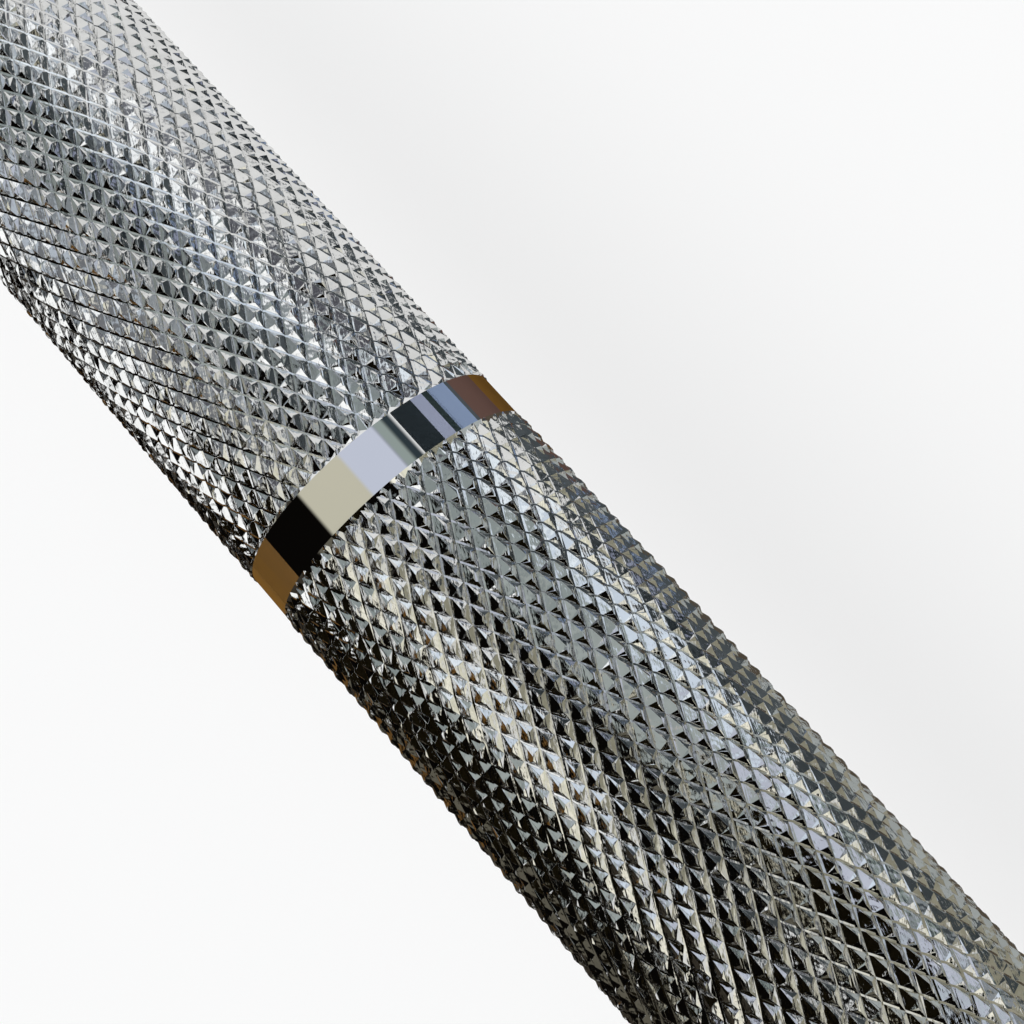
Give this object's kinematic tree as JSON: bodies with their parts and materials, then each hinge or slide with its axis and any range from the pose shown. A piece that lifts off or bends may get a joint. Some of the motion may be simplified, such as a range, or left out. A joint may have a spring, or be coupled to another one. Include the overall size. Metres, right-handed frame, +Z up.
{
  "type": "olympic barbell",
  "caption": "Long straight steel weightlifting bar with a diamond-knurled shaft, polished grip-mark rings, stepped collars and plate sleeves that turn on needle bearings.",
  "frame": {"origin": "middle of the shaft, on the bar's axis, midway between the collars", "axes": "+X along the bar towards the right sleeve, +Y to the back, +Z up"},
  "size_m": [2.2, 0.08, 0.08],
  "materials": {
    "shaft_chrome": "bright plated, knurled",
    "sleeve_chrome": "polished plating",
    "collar_chrome": "polished plating",
    "cap_steel": "turned satin",
    "spring_steel": "blackened",
    "bearing_steel": "ground",
    "cage_steel": "pressed",
    "needle_steel": "ground and polished",
    "bronze": "machined, oiled",
    "seal_rubber": "moulded, matt"
  },
  "bodies": {
    "shaft": {"shaft": "shaft_chrome", "left_backing_washer": "bearing_steel", "left_shaft_retaining_ring": "spring_steel", "right_backing_washer": "bearing_steel", "right_shaft_retaining_ring": "spring_steel"},
    "left_sleeve": {"left_sleeve": "sleeve_chrome", "left_collar": "collar_chrome", "left_shaft_seal": "seal_rubber", "left_flanged_bush": "bronze", "left_thrust_washer": "bronze", "left_end_cap": "cap_steel", "left_cap_retaining_ring": "spring_steel", "left_inboard_bearing_shell": "bearing_steel", "left_outboard_bearing_shell": "bearing_steel"},
    "left_inboard_cage": {"left_inboard_needle_cage": "cage_steel", "left_inboard_needles": "needle_steel"},
    "left_outboard_cage": {"left_outboard_needle_cage": "cage_steel", "left_outboard_needles": "needle_steel"},
    "right_sleeve": {"right_sleeve": "sleeve_chrome", "right_collar": "collar_chrome", "right_shaft_seal": "seal_rubber", "right_flanged_bush": "bronze", "right_thrust_washer": "bronze", "right_end_cap": "cap_steel", "right_cap_retaining_ring": "spring_steel", "right_inboard_bearing_shell": "bearing_steel", "right_outboard_bearing_shell": "bearing_steel"},
    "right_inboard_cage": {"right_inboard_needle_cage": "cage_steel", "right_inboard_needles": "needle_steel"},
    "right_outboard_cage": {"right_outboard_needle_cage": "cage_steel", "right_outboard_needles": "needle_steel"}
  },
  "joints": [
    {"name": "left_sleeve_spin", "type": "hinge", "parent": "shaft", "child": "left_sleeve", "pos_m": [-0.88, 0, 0], "axis": [1, 0, 0], "continuous": true},
    {"name": "left_inboard_cage_orbit", "type": "hinge", "parent": "shaft", "child": "left_inboard_cage", "pos_m": [-0.694, 0, 0], "axis": [1, 0, 0], "continuous": true},
    {"name": "left_outboard_cage_orbit", "type": "hinge", "parent": "shaft", "child": "left_outboard_cage", "pos_m": [-1.06595, 0, 0], "axis": [1, 0, 0], "continuous": true},
    {"name": "right_sleeve_spin", "type": "hinge", "parent": "shaft", "child": "right_sleeve", "pos_m": [0.88, 0, 0], "axis": [1, 0, 0], "continuous": true},
    {"name": "right_inboard_cage_orbit", "type": "hinge", "parent": "shaft", "child": "right_inboard_cage", "pos_m": [0.694, 0, 0], "axis": [1, 0, 0], "continuous": true},
    {"name": "right_outboard_cage_orbit", "type": "hinge", "parent": "shaft", "child": "right_outboard_cage", "pos_m": [1.06595, 0, 0], "axis": [1, 0, 0], "continuous": true}
  ],
  "couplings": [
    {"joint": "left_inboard_cage_orbit", "follows": "left_sleeve_spin", "ratio": 0.54644},
    {"joint": "left_outboard_cage_orbit", "follows": "left_sleeve_spin", "ratio": 0.54644},
    {"joint": "right_inboard_cage_orbit", "follows": "right_sleeve_spin", "ratio": 0.54644},
    {"joint": "right_outboard_cage_orbit", "follows": "right_sleeve_spin", "ratio": 0.54644}
  ]
}
